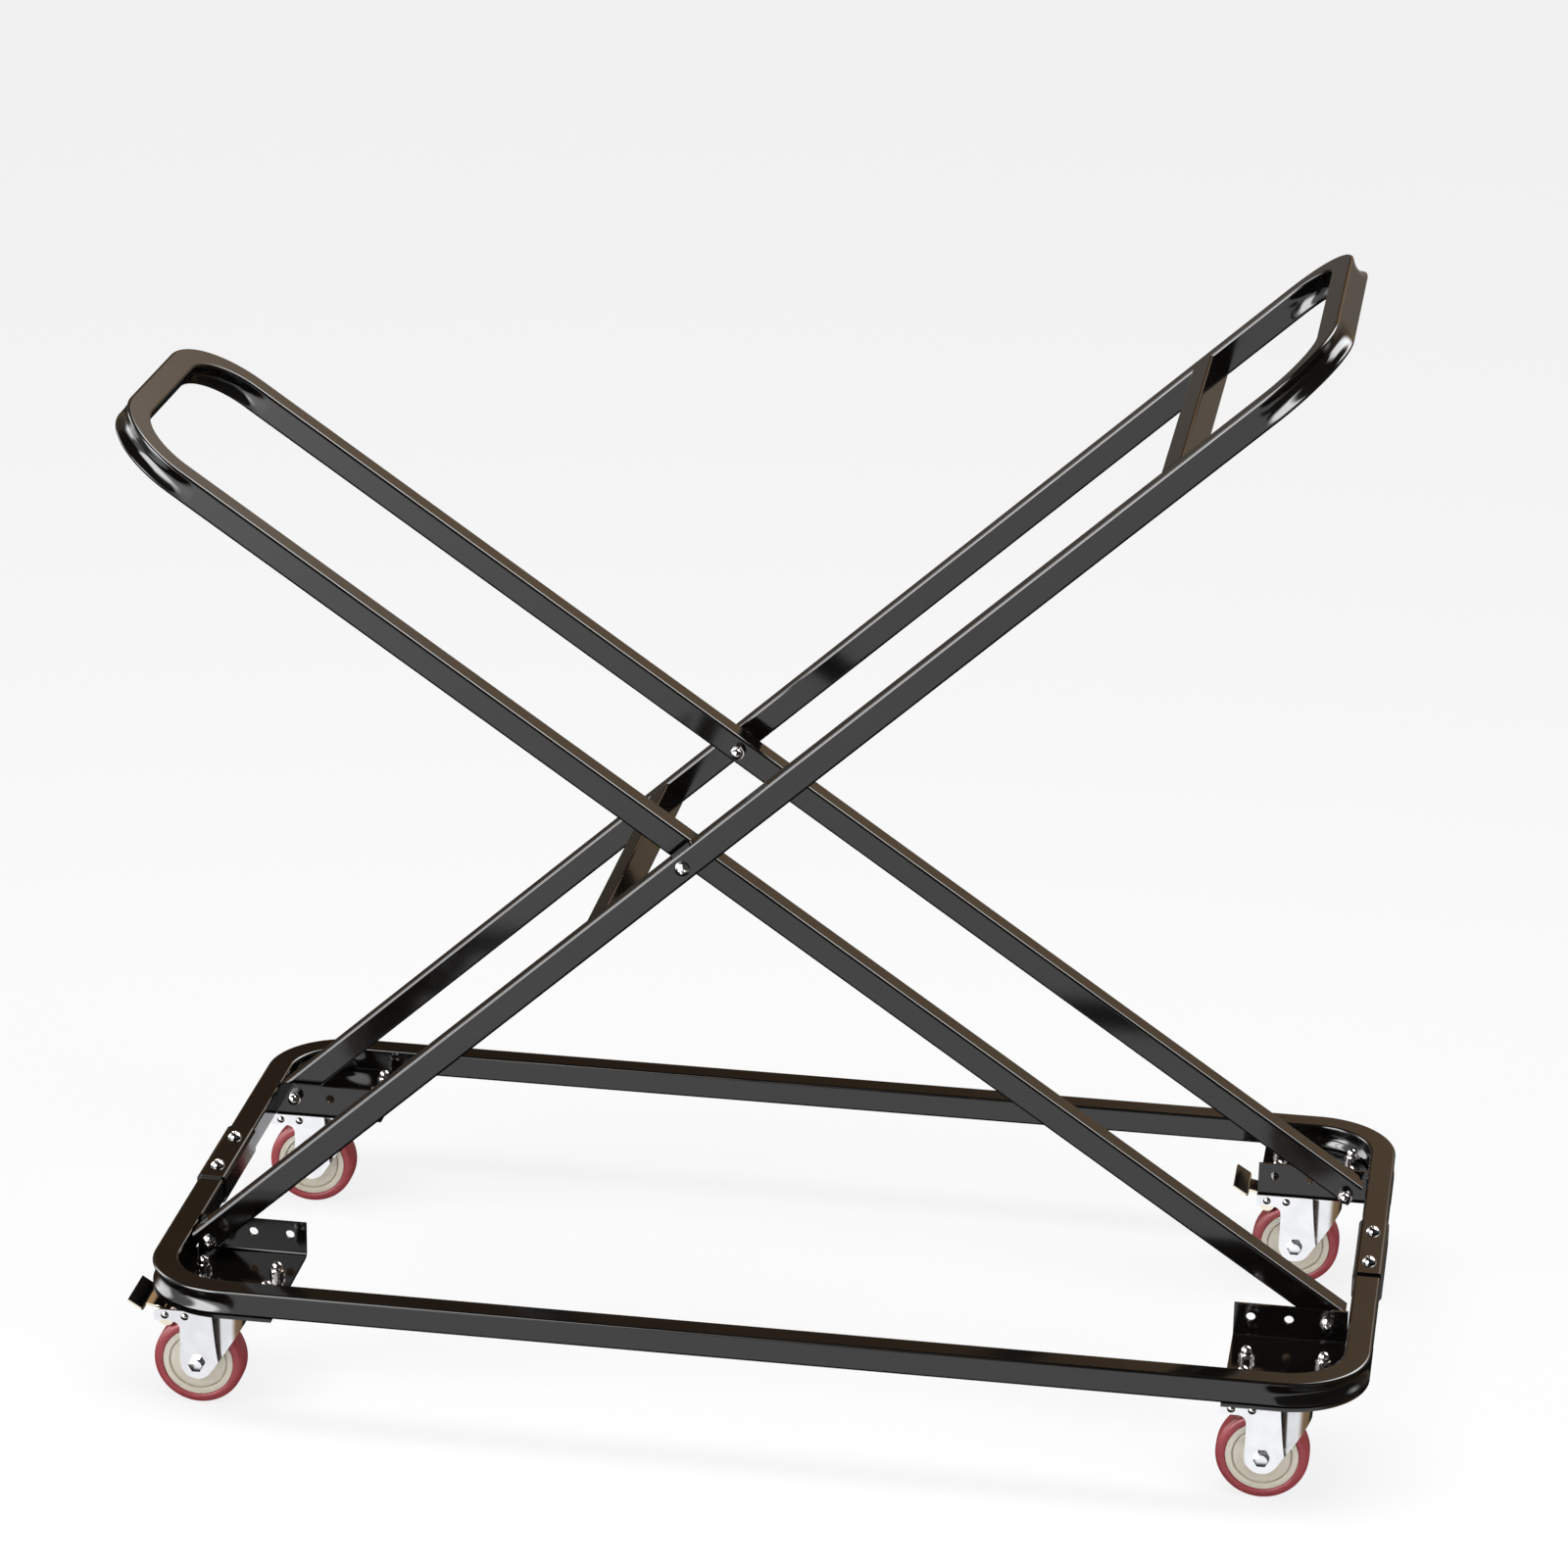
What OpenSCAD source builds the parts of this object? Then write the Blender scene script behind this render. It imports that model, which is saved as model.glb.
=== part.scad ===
// Stacking chair trolley: a wheeled base of bent square tube carries two crossed arms, each a
// long U of the same tube. The arms are bolted to angle brackets at the base's corners and to
// each other where they cross, and four plate casters swivel under the brackets, two braked.
// Millimetres, +Z up, +X along the base, floor at z = 0, origin under the middle of the outline.

/* [Base frame] */
// Length of the base over its tubes
base_len = 1160; // [1100:1:1300]
// Width of the base over its tubes
base_w = 607; // [580:1:700]
// Outside of the square tube
tube = 25; // [22:0.5:26]
// Wall of the square tube
tube_wall = 1.5; // [1:0.1:2]
// Outside radius of the tube's long edges
tube_edge_r = 2.5; // [2.2:0.1:3.5]
// Outside radius of the base's corner bends
base_bend_r = 80; // [74:1:84]
// Depth of the crease on the outside of each bend
crease_depth = 5.2; // [2:0.1:5.5]
// Depth of the dent on the inside of each bend
dent_depth = 3.5; // [1.5:0.1:4.5]
// Radius of the former that presses the creases
crease_r = 9.5; // [8:0.1:10.5]
// Length of the sleeve that joins the base's halves
sleeve_len = 118; // [90:1:150]
// Wall of the joining sleeve
sleeve_wall = 2; // [1.5:0.1:3]
// Distance of each sleeve screw from the joint
sleeve_screw_y = 34; // [20:1:40]

/* [Corner brackets] */
// Thickness of the bracket's plate and flange
bracket_t = 3.5; // [2.5:0.1:5]
// Length of the bracket's flange along the base
flange_len = 107; // [100:1:110]
// Height of the flange above the plate
flange_h = 33; // [30:1:45]
// Diameter of the flange's adjusting holes
flange_hole_d = 9; // [8.5:0.1:11]
// Distance between the flange's adjusting holes
flange_pitch = 36; // [26:0.5:38]
// Height of the adjusting holes above the plate
flange_hole_h = 20; // [16:0.5:22]
// Inside radius of the bracket's bend
bracket_bend_r = 2.5; // [1.5:0.1:3.5]

/* [Arms] */
// Distance of the outer arm inside the sides of the base
arm_inset = 113.5; // [107:0.5:123]
// Length of the outer arm from its foot bolt to its handle
outer_len = 1403; // [1340:1:1500]
// Length of the inner arm from its foot bolt to its handle
inner_len = 1413; // [1300:1:1500]
// Distance from the outer arm's foot bolt to the crossing
outer_reach = 621; // [590:1:660]
// Distance from the inner arm's foot bolt to the crossing
inner_reach = 745.5; // [715:0.5:775]
// Distance of the foot bolts inside the ends of the base
foot_inset = 44.5; // [43:0.5:50]
// Distance of a foot bolt below its arm's centre line
foot_drop = 3.5; // [0:0.5:5]
// Length of tube past the foot bolt
foot_tail = 9; // [7:0.5:10]
// Outside radius of the handle bends
handle_bend_r = 82; // [54:1:90]
// Distance of the lower rung below the crossing
rung_drop = 104; // [80:1:180]
// Distance of the upper rung from the foot bolt
upper_rung_s = 1217; // [1100:1:1240]
// Thickness of the spacers between arms and flanges
spacer_t = 4; // [3:0.5:6]
// Outside diameter of the spacers
spacer_d = 17; // [14:0.5:20]

/* [Fasteners] */
// Diameter of the frame and caster bolts
bolt_d = 8; // [6:0.5:8]
// Width of the hexagons over their flats
hex_af = 13; // [11:0.5:13]
// Diameter of the pan heads
pan_d = 14; // [12:0.5:16]
// Height of the pan heads
pan_h = 5.5; // [4:0.1:6.5]
// Diameter of the sleeve screws
screw_d = 6; // [4:0.5:7]

/* [Casters] */
// Height of a caster from the floor to the top of its plate
caster_h = 122.5; // [118:0.5:135]
// Distance of the swivel axes inside the ends of the base
caster_inset_x = 70; // [68:0.5:74]
// Distance of the swivel axes inside the sides of the base
caster_inset_y = 72.5; // [69.5:0.5:75.5]
// Distance of the swivel axis outside the middle of its plate
swivel_shift = 10; // [7:0.5:11]
// Length of the caster plate
caster_plate_len = 96; // [92:1:100]
// Width of the caster plate
caster_plate_w = 66; // [62:1:72]
// Thickness of the caster plate
caster_plate_t = 3; // [2.5:0.1:4]
// Caster bolt spacing along the plate
caster_pitch_x = 72; // [70:0.5:74]
// Caster bolt spacing across the plate
caster_pitch_y = 42; // [40:0.5:44]
// Diameter of the wheel
wheel_d = 88; // [78:1:90]
// Width of the wheel
wheel_w = 28; // [24:0.5:30]
// Distance of the axle behind the swivel axis
trail = 25; // [22:0.5:26]
// Thickness of the fork's sheet
fork_wall = 2.5; // [2:0.1:3]
// Gap between the wheel and the fork on each side
wheel_gap = 1; // [0.6:0.1:2]
// Outside radius of the fork's rounded front at its crown
fork_round_r = 20.2; // [19.5:0.1:21.5]
// Taper of the fork's rounded front, in degrees
fork_taper = 2.3; // [1.5:0.1:2.8]
// Radius of the fork's boss at the axle
fork_boss_r = 16; // [12:0.5:17]
// Length of the fork's ears behind the swivel axis
ear_len = 66; // [62:0.5:70]
// Height of the fork's ears
ear_h = 11.5; // [9:0.5:13]
// Distance of the inner ear pin behind the swivel axis
pin_in_x = 36; // [33:0.5:38]
// Distance of the outer ear pin behind the swivel axis
pin_out_x = 55.5; // [53:0.5:58]
// Diameter of the ear pins
pin_d = 6; // [5:0.1:6.5]
// Diameter of the kingpin
kingpin_d = 12; // [10:0.5:14]
// Radius of the circle of swivel balls
ball_ring_r = 18; // [16.5:0.5:19]
// Diameter of a swivel ball
ball_d = 5; // [4:0.1:5.5]
// Number of swivel balls in a caster
ball_count = 16; // [8:1:18]
// Radius of the hub, where the tyre begins
hub_r = 34.5; // [32:0.5:36]
// Radius of the tyre's rounded shoulders
tyre_shoulder_r = 5; // [3:0.5:6]

/* [Brakes] */
// Width of the brake pedal's pad
pedal_w = 52; // [40:1:60]
// Width of the pedal between the ears
pedal_neck_w = 26; // [20:0.5:28]
// Length of the pedal's neck from its pin to its pad
pedal_neck_len = 20; // [18:0.5:24]
// Length of the pedal's pad
pedal_pad_len = 16; // [12:0.5:18]
// Slope of the pedal's neck at rest, in degrees
neck_slope = 12; // [10:1:15]
// Slope of the pedal's pad at rest, in degrees
pad_slope = 32; // [28:1:34]
// Thickness of the pedal's sheet
pedal_t = 2.5; // [2:0.1:3]
// Radius of the brake cam
cam_r = 8; // [7:0.1:8.5]
// Distance of the cam's centre below the pin
cam_throw = 5; // [3:0.1:5.2]

/* [Hidden] */
// Overrun of every cut past the faces that it opens
overrun = 2;
// Clearance between pieces that are bolted or sleeved together
fit = 0.15;
// Radial running clearance of pins in bores
run = 0.05;
// Gap left where a moving face passes a fixed one
slip = 0.3;

// Base frame
base_z = caster_h + bracket_t;
base_mid_z = base_z + tube / 2;
tube_in = tube - 2 * tube_wall;
edge_in = tube_edge_r - tube_wall;
splice_gap = 1;
rail_mid_x = base_len / 2 - tube / 2;
sleeve_in = tube + 2 * fit;
sleeve_out = sleeve_in + 2 * sleeve_wall;
sleeve_edge_r = tube_edge_r + fit;
// Angle by which a crease's ring runs past the end of its bend
runout = 4;
half_corner = 45;

// Arms
outer_half_w = base_w / 2 - arm_inset;
arm_gap = bracket_t + 2 * spacer_t;
inner_half_w = outer_half_w - tube - arm_gap;
foot_x = base_len / 2 - foot_inset;
foot_span = 2 * foot_x;
foot_z = base_z + flange_hole_h;
// Angles of the lines from the foot bolts to the crossing, from the triangle's three sides
function side_angle(near, base, far) = acos((near ^ 2 + base ^ 2 - far ^ 2) / (2 * near * base));
outer_line = side_angle(outer_reach, foot_span, inner_reach);
inner_line = side_angle(inner_reach, foot_span, outer_reach);
outer_angle = outer_line - asin(foot_drop / outer_reach);
inner_angle = inner_line - asin(foot_drop / inner_reach);
// Distances of the crossing and of the lower rung along the outer arm's centre line
crossing_s = sqrt(outer_reach ^ 2 - foot_drop ^ 2);
lower_rung_s = crossing_s - rung_drop;
bolt_hole_d = bolt_d + 2 * fit;

// Brackets
flange_out_y = outer_half_w - tube - spacer_t;
flange_in_y = flange_out_y - bracket_t;
flange_end_gap = 0.5;
flange_far_x = base_len / 2 - tube - flange_end_gap;
flange_near_x = flange_far_x - flange_len;

// The outline's two ends: the inner arm's handle and the far sleeve. The origin is midway.
arm_tip = inner_len * cos(inner_angle) + (tube / 2 - foot_drop) * sin(inner_angle);
left_end = foot_x - arm_tip + tube_edge_r * (sin(inner_angle) + cos(inner_angle) - 1);
right_end = rail_mid_x + sleeve_out / 2;
base_x = -(left_end + right_end) / 2;

// Fasteners
hex_r = hex_af / 2 / cos(30);
hex_head_share = 0.66;
hex_head_h = bolt_d * hex_head_share;
nut_share = 0.8;
nut_h = bolt_d * nut_share;
nut_collar_share = 0.3;
nut_bite = nut_h + bolt_d * nut_collar_share;
acorn_dome_share = 0.86;
pan_rim_share = 0.3;
recess_w_share = 0.16;
recess_l_share = 0.55;
recess_h_share = 0.45;
screw_len = 11;

// Casters
caster_x = base_len / 2 - caster_inset_x;
caster_y = base_w / 2 - caster_inset_y;
wheel_r = wheel_d / 2;
fork_in_y = wheel_w / 2 + wheel_gap;
fork_out_y = fork_in_y + fork_wall;
caster_plate_z = caster_h - caster_plate_t;
upper_race_h = 7.5;
lower_race_h = 7;
race_slit = 2;
crown_top = caster_plate_z - upper_race_h - race_slit - lower_race_h;
ball_z = crown_top + lower_race_h + race_slit / 2;
race_bore_gap = 6;
race_bore_r = kingpin_d / 2 + race_bore_gap;
lower_race_r = ball_ring_r + ball_d;
upper_race_lip = 1.5;
upper_race_r = lower_race_r + upper_race_lip;
crown_lip = 1;
crown_r = lower_race_r + crown_lip;
ear_top_drop = 4.5;
ear_top = crown_top - ear_top_drop;
ear_bottom = ear_top - ear_h;
ear_fillet_r = 8;
pin_z = ear_top - ear_h / 2;
apron_drop = 15;
kingpin_head_r = 10;
kingpin_head_h = 3.5;
plate_corner_r = 8;

// Ear pin rivets
rivet_r_share = 0.72;
rivet_h_share = 0.3;

// Hub steps: half widths and radii from the bore outwards
hub_boss_half_w = fork_in_y - slip;
hub_boss_r = 18;
hub_web_inset = 3;
hub_web_half_w = wheel_w / 2 - hub_web_inset;
hub_rim_inset = 1.2;
hub_rim_half_w = wheel_w / 2 - hub_rim_inset;
hub_rim_w = 6;
hub_groove_w = 1.4;
hub_groove_depth = 1.6;

// Brakes
// Depth that the pedal's sheet sinks into the knuckle round its pin
knuckle_lap = 0.8;
knuckle_r = pin_d / 2 + pedal_t + knuckle_lap;
pedal_bend_r = 3;
pedal_bend_steps = 6;
pedal_corner_r = 3;

// Colours
powder_black = "#26231f";
zinc = "#d9dadc";
maroon = "#8e3a40";
cream = "#dccdb8";
nylon = "#1a1a1a";

$fn = 64;

// Corner names with their sides: -1 is left or front, 1 is right or rear
corners = [
    ["front_left", -1, -1],
    ["front_right", 1, -1],
    ["rear_left", -1, 1],
    ["rear_right", 1, 1]
];
braked = [corners[0], corners[3]];

// Places

// Moves from the middle of the base to the part's origin
module stand() {
    translate([base_x, 0, 0]) children();
}

// Mirrors a shape drawn in the right rear quarter into the quarter named by its sides
module quarter(side, end) {
    mirror([side < 0 ? 1 : 0, 0, 0]) mirror([0, end < 0 ? 1 : 0, 0]) children();
}

// Stands a shape drawn about the swivel axis under one corner
module under_corner(side, end) {
    stand() translate([side * caster_x, end * caster_y, 0]) children();
}

// Lays a shape drawn along the outer arm, from its foot bolt, into place
module along_outer_arm() {
    stand() translate([-foot_x, 0, foot_z]) rotate([0, -outer_angle, 0])
        translate([0, 0, foot_drop]) children();
}

module along_inner_arm() {
    stand() translate([foot_x, 0, foot_z]) rotate([0, inner_angle, 0])
        translate([0, 0, foot_drop]) mirror([1, 0, 0]) children();
}

// Square tube

// Solid square section with rounded edges
module section(size, edge) {
    square([size, size - 2 * edge], center = true);
    square([size - 2 * edge, size], center = true);
    for (x = [-1, 1], y = [-1, 1])
        translate([x, y] * (size / 2 - edge)) circle(edge);
}

// A U of solid section: two legs along X from start, two bends and a cross bar at reach
module u_sweep(half_w, reach, start, bend_r, size, edge, extra) {
    for (side = [-1, 1]) {
        translate([start - extra, side * (half_w - tube / 2), 0]) rotate([90, 0, 90])
            linear_extrude(reach - bend_r - start + extra) section(size, edge);
        translate([reach - bend_r, side * (half_w - bend_r), 0]) rotate([0, 0, side > 0 ? 0 : -90])
            rotate_extrude(angle = 90) translate([bend_r - tube / 2, 0]) section(size, edge);
    }
    translate([reach - tube / 2, bend_r - half_w, 0]) rotate([-90, 0, 0])
        linear_extrude(2 * (half_w - bend_r)) section(size, edge);
}

// How far off a bend's centre a crease's ring sits, so that it is deepest halfway round the
// bend and runs out where the bend meets the straight tube
function crease_off(r, depth) =
    (2 * r * depth - depth ^ 2) / (r * (2 - sqrt(2)) - 2 * depth);
function dent_off(r, depth) =
    (2 * r * depth + depth ^ 2) / (r * (2 - sqrt(2)) + 2 * depth);

// Part of a ring of round bar, centred on +X
module ring_arc(r, bar_r, half_angle) {
    rotate([0, 0, -half_angle]) rotate_extrude(angle = 2 * half_angle)
        translate([r, 0]) circle(bar_r);
}

// The rings that press a crease outside and a dent inside both bends of a U
module bend_creases(half_w, reach, bend_r, grow) {
    out_off = crease_off(bend_r, crease_depth);
    out_half = atan2(bend_r * sin(half_corner), bend_r * cos(half_corner) + out_off) + runout;
    in_bend_r = bend_r - tube;
    in_off = dent_off(in_bend_r, dent_depth);
    in_half = atan2(in_bend_r * sin(half_corner), in_bend_r * cos(half_corner) - in_off) + runout;
    for (side = [-1, 1])
        translate([reach - bend_r, side * (half_w - bend_r), 0]) rotate([0, 0, side * half_corner]) {
            translate([-out_off, 0, 0])
                ring_arc(bend_r - crease_depth + out_off + crease_r, crease_r + grow, out_half);
            translate([in_off, 0, 0])
                ring_arc(in_bend_r + dent_depth - in_off - crease_r, crease_r + grow, in_half);
        }
}

// Hollow U of square tube, with the wall pressed in round its bends
module bent_tube(half_w, reach, start, bend_r) {
    difference() {
        u_sweep(half_w, reach, start, bend_r, tube, tube_edge_r, 0);
        bend_creases(half_w, reach, bend_r, 0);
        difference() {
            u_sweep(half_w, reach, start, bend_r, tube_in, edge_in, overrun);
            bend_creases(half_w, reach, bend_r, tube_wall);
        }
    }
}

// Fasteners, each standing on its seat at z = 0 with its shank pointing down

// Domed head with a cross recess and a plain shank
module pan_screw(head_d, head_h, shank_d, shank_len) {
    cap_h = head_h * (1 - pan_rim_share);
    ball_r = (cap_h ^ 2 + (head_d / 2) ^ 2) / (2 * cap_h);
    recess = [head_d * recess_l_share, head_d * recess_w_share, head_h * recess_h_share];
    difference() {
        intersection() {
            cylinder(d = head_d, h = head_h);
            translate([0, 0, head_h - ball_r]) sphere(ball_r);
        }
        for (turn = [0, 90])
            translate([0, 0, head_h * (1 - recess_h_share / 2)]) rotate([0, 0, turn])
                cube(recess, center = true);
    }
    translate([0, 0, -shank_len]) cylinder(d = shank_d, h = shank_len + head_h * pan_rim_share);
}

// Hexagon head and plain shank
module hex_bolt(shank_len) {
    cylinder(r = hex_r, h = hex_head_h, $fn = 6);
    translate([0, 0, -shank_len]) cylinder(d = bolt_d, h = shank_len + hex_head_h / 2);
}

// Hexagon nut under a closed dome, bored to take the end of a bolt
module acorn_nut() {
    dome_r = hex_af / 2 * acorn_dome_share;
    difference() {
        union() {
            cylinder(r = hex_r, h = nut_h, $fn = 6);
            translate([0, 0, nut_h]) cylinder(r = dome_r, h = nut_bite - nut_h);
            translate([0, 0, nut_bite]) sphere(dome_r);
        }
        translate([0, 0, -overrun]) cylinder(r = bolt_d / 2 + run, h = nut_bite + overrun + fit);
    }
}

// Turns a fastener's head towards +Y or -Y
module facing(side) {
    rotate([side > 0 ? -90 : 90, 0, 0]) children();
}

// Base frame pieces

module base_half(end) {
    color(powder_black) stand() translate([0, 0, base_mid_z]) rotate([0, 0, end * 90]) difference() {
        bent_tube(base_len / 2, base_w / 2, splice_gap / 2, base_bend_r);
        for (side = [-1, 1])
            translate([sleeve_screw_y, side * rail_mid_x, 0]) cylinder(d = screw_d + 2 * fit, h = tube);
    }
}

module splice_sleeve(side) {
    color(powder_black) stand() translate([side * rail_mid_x, 0, base_mid_z]) difference() {
        rotate([90, 0, 0]) linear_extrude(sleeve_len, center = true) difference() {
            section(sleeve_out, sleeve_edge_r + sleeve_wall);
            section(sleeve_in, sleeve_edge_r);
        }
        for (y = [-1, 1])
            translate([0, y * sleeve_screw_y, 0]) cylinder(d = screw_d + 2 * fit, h = sleeve_out);
    }
}

module splice_screws() {
    color(zinc) stand() for (side = [-1, 1], y = [-1, 1])
        translate([side * rail_mid_x, y * sleeve_screw_y, base_mid_z + sleeve_out / 2])
            pan_screw(pan_d, pan_h, screw_d, screw_len);
}

// Angle bracket from its end: a plate and a flange, bent from one sheet
module bracket_profile() {
    outside_r = bracket_bend_r + bracket_t;
    difference() {
        union() {
            square([base_w / 2 - flange_in_y, bracket_t]);
            square([bracket_t, bracket_t + flange_h]);
            difference() {
                translate([bracket_t, bracket_t]) square(bracket_bend_r);
                translate([outside_r, outside_r]) circle(bracket_bend_r);
            }
        }
        difference() {
            translate([-overrun, -overrun]) square(outside_r + overrun);
            translate([outside_r, outside_r]) circle(outside_r);
        }
    }
}

// Bracket drawn in the right rear quarter. Its plate runs on past the flange, under the end of
// the base, and is trimmed to the bend.
module bracket_shape() {
    bend_x = base_len / 2 - base_bend_r;
    bend_y = base_w / 2 - base_bend_r;
    plate_len = base_len / 2 - flange_near_x;
    bend_w = bracket_t + bracket_bend_r;
    difference() {
        translate([flange_near_x, flange_in_y, caster_h]) rotate([90, 0, 90])
            linear_extrude(plate_len) bracket_profile();
        translate([flange_far_x, flange_in_y - overrun, caster_h - overrun])
            cube([plate_len - flange_len + overrun, bend_w + overrun, bracket_t + flange_h + 2 * overrun]);
        translate([bend_x, bend_y, caster_h - overrun])
            linear_extrude(bracket_t + 2 * overrun) difference() {
                square(base_bend_r + overrun);
                circle(base_bend_r);
            }
        for (i = [0 : 2])
            translate([foot_x - i * flange_pitch, flange_in_y - overrun, foot_z]) rotate([-90, 0, 0])
                cylinder(d = flange_hole_d, h = bracket_t + 2 * overrun);
        translate([caster_x - swivel_shift, caster_y, caster_h - overrun])
            caster_bolt_places() cylinder(d = bolt_hole_d, h = bracket_t + 2 * overrun);
    }
}

module bracket(side, end) {
    color(powder_black) stand() quarter(side, end) bracket_shape();
}

// Arms

// An arm along +X from its foot bolt, with the bolt holes of its foot and of the crossing
module arm_shape(half_w, length, reach) {
    difference() {
        bent_tube(half_w, length, -foot_tail, handle_bend_r);
        for (place = [[0, -foot_drop], [sqrt(reach ^ 2 - foot_drop ^ 2), 0]])
            translate([place[0], -half_w - overrun, place[1]]) rotate([-90, 0, 0])
                cylinder(d = bolt_hole_d, h = 2 * (half_w + overrun));
    }
}

module outer_arm() {
    color(powder_black) along_outer_arm() arm_shape(outer_half_w, outer_len, outer_reach);
}

module inner_arm() {
    color(powder_black) along_inner_arm() arm_shape(inner_half_w, inner_len, inner_reach);
}

// Cross tube welded between the outer arm's legs
module rung(s) {
    color(powder_black) along_outer_arm() translate([s, 0, 0]) rotate([90, 0, 0])
        linear_extrude(2 * (outer_half_w - tube), center = true) difference() {
            section(tube, tube_edge_r);
            section(tube_in, edge_in);
        }
}

// Bolts of the crossing, placed on the outer arm's centre line
module at_crossing() {
    along_outer_arm() translate([crossing_s, 0, 0]) children();
}

module pivot_bolts() {
    color(zinc) at_crossing() for (end = [-1, 1])
        translate([0, end * outer_half_w, 0]) facing(end)
            pan_screw(pan_d, pan_h, bolt_d, 2 * tube + arm_gap + nut_bite);
}

module pivot_nuts() {
    color(zinc) at_crossing() for (end = [-1, 1])
        translate([0, end * (inner_half_w - tube), 0]) facing(-end) acorn_nut();
}

// Ring between two faces across Y, from y towards the outside
module spacer_ring(end, y, thickness) {
    translate([0, end * y, 0]) facing(end) difference() {
        cylinder(d = spacer_d, h = thickness);
        translate([0, 0, -overrun]) cylinder(d = bolt_hole_d, h = thickness + 2 * overrun);
    }
}

module pivot_spacers() {
    color(nylon) at_crossing() for (end = [-1, 1]) spacer_ring(end, inner_half_w, arm_gap);
}

// Each foot bolt's end of the base, the face under its head and the face under its nut
foot_places = [
    [-1, outer_half_w, flange_in_y],
    [1, flange_out_y, inner_half_w - tube]
];

module foot_bolts() {
    color(zinc) stand() for (foot = foot_places, end = [-1, 1])
        translate([foot[0] * foot_x, end * foot[1], foot_z]) facing(end)
            pan_screw(pan_d, pan_h, bolt_d, foot[1] - foot[2] + nut_bite);
}

module foot_nuts() {
    color(zinc) stand() for (foot = foot_places, end = [-1, 1])
        translate([foot[0] * foot_x, end * foot[2], foot_z]) facing(-end) acorn_nut();
}

module foot_spacers() {
    color(nylon) stand() for (end = [-1, 1]) {
        translate([-foot_x, 0, foot_z]) spacer_ring(end, flange_out_y, spacer_t);
        translate([foot_x, 0, foot_z]) spacer_ring(end, inner_half_w, spacer_t);
    }
}

// Casters, fixed pieces

// The four bolt places about the middle of a caster plate
module caster_bolt_places() {
    for (x = [-1, 1], y = [-1, 1])
        translate([x * caster_pitch_x / 2, y * caster_pitch_y / 2, 0]) children();
}

module each_caster_bolt() {
    for (corner = corners)
        under_corner(corner[1], corner[2]) translate([-corner[1] * swivel_shift, 0, 0])
            caster_bolt_places() children();
}

module caster_bolts() {
    color(zinc) each_caster_bolt() translate([0, 0, caster_plate_z]) mirror([0, 0, 1])
        hex_bolt(caster_plate_t + bracket_t + nut_bite);
}

module caster_nuts() {
    color(zinc) each_caster_bolt() translate([0, 0, base_z]) acorn_nut();
}

// Ring of the swivel bearing, with the balls' groove cut from one face
module race(r, z, h) {
    difference() {
        translate([0, 0, z]) cylinder(r = r, h = h);
        translate([0, 0, z - overrun]) cylinder(r = race_bore_r, h = h + 2 * overrun);
        translate([0, 0, ball_z]) rotate_extrude() translate([ball_ring_r, 0]) circle(ball_d / 2 + run);
    }
}

// Plate with rounded corners, four bolt holes and the upper race of the swivel
module caster_plate(side, end) {
    color(zinc) under_corner(side, end) {
        translate([-side * swivel_shift, 0, caster_plate_z]) difference() {
            linear_extrude(caster_plate_t) difference() {
                plate_outline();
                translate([side * swivel_shift, 0]) circle(kingpin_d / 2 + run);
            }
            translate([0, 0, -overrun]) caster_bolt_places()
                cylinder(d = bolt_hole_d, h = caster_plate_t + 2 * overrun);
        }
        race(upper_race_r, caster_plate_z - upper_race_h, upper_race_h);
    }
}

module plate_outline() {
    straight = [caster_plate_len, caster_plate_w] - [1, 1] * 2 * plate_corner_r;
    square([caster_plate_len, straight[1]], center = true);
    square([straight[0], caster_plate_w], center = true);
    for (x = [-1, 1], y = [-1, 1])
        translate([x * straight[0] / 2, y * straight[1] / 2]) circle(plate_corner_r);
}

// Rivet that carries the fork: a shank through plate and crown, and a head under the crown
module kingpins() {
    head_z = crown_top - fork_wall - slip - kingpin_head_h;
    color(zinc) for (corner = corners)
        under_corner(corner[1], corner[2]) translate([0, 0, head_z]) {
            cylinder(r = kingpin_head_r, h = kingpin_head_h);
            cylinder(d = kingpin_d, h = caster_h - head_z);
        }
}

module swivel_balls() {
    color(zinc) for (corner = corners, i = [0 : ball_count - 1])
        under_corner(corner[1], corner[2]) rotate([0, 0, i * 360 / ball_count])
            translate([ball_ring_r, 0, ball_z]) sphere(d = ball_d, $fn = 32);
}

// Casters, swivelling pieces

// Fork as a block: two flat sides and a rounded front that tapers downwards from its crown
module fork_block(round_r, half_w, back, extra) {
    slope = tan(fork_taper);
    translate([-back, -half_w, -extra]) cube([back, 2 * half_w, crown_top + 2 * extra]);
    translate([0, 0, -extra])
        cylinder(
            r1 = round_r - slope * (crown_top + extra),
            r2 = round_r + slope * extra,
            h = crown_top + 2 * extra
        );
}

// Fork seen from the side: ears at the back, a boss at the axle and a slanted front edge
module fork_side() {
    axle = [-trail, wheel_r];
    front = [fork_round_r + overrun, crown_top - apron_drop];
    away = front - axle;
    tangent = atan2(away[1], away[0]) - acos(fork_boss_r / norm(away));
    leg_back = -trail - fork_boss_r;
    polygon([
        axle + fork_boss_r * [cos(tangent), sin(tangent)],
        front,
        [front[0], crown_top],
        [leg_back + ear_fillet_r, crown_top],
        [leg_back + ear_fillet_r - ear_top_drop, ear_top],
        [-ear_len, ear_top],
        [-ear_len, ear_bottom],
        [leg_back, ear_bottom],
        [leg_back, wheel_r],
        axle
    ]);
    translate(axle) circle(fork_boss_r);
    difference() {
        translate([leg_back - ear_fillet_r, ear_bottom - ear_fillet_r]) square(ear_fillet_r);
        translate([leg_back - ear_fillet_r, ear_bottom - ear_fillet_r]) circle(ear_fillet_r);
    }
}

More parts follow.
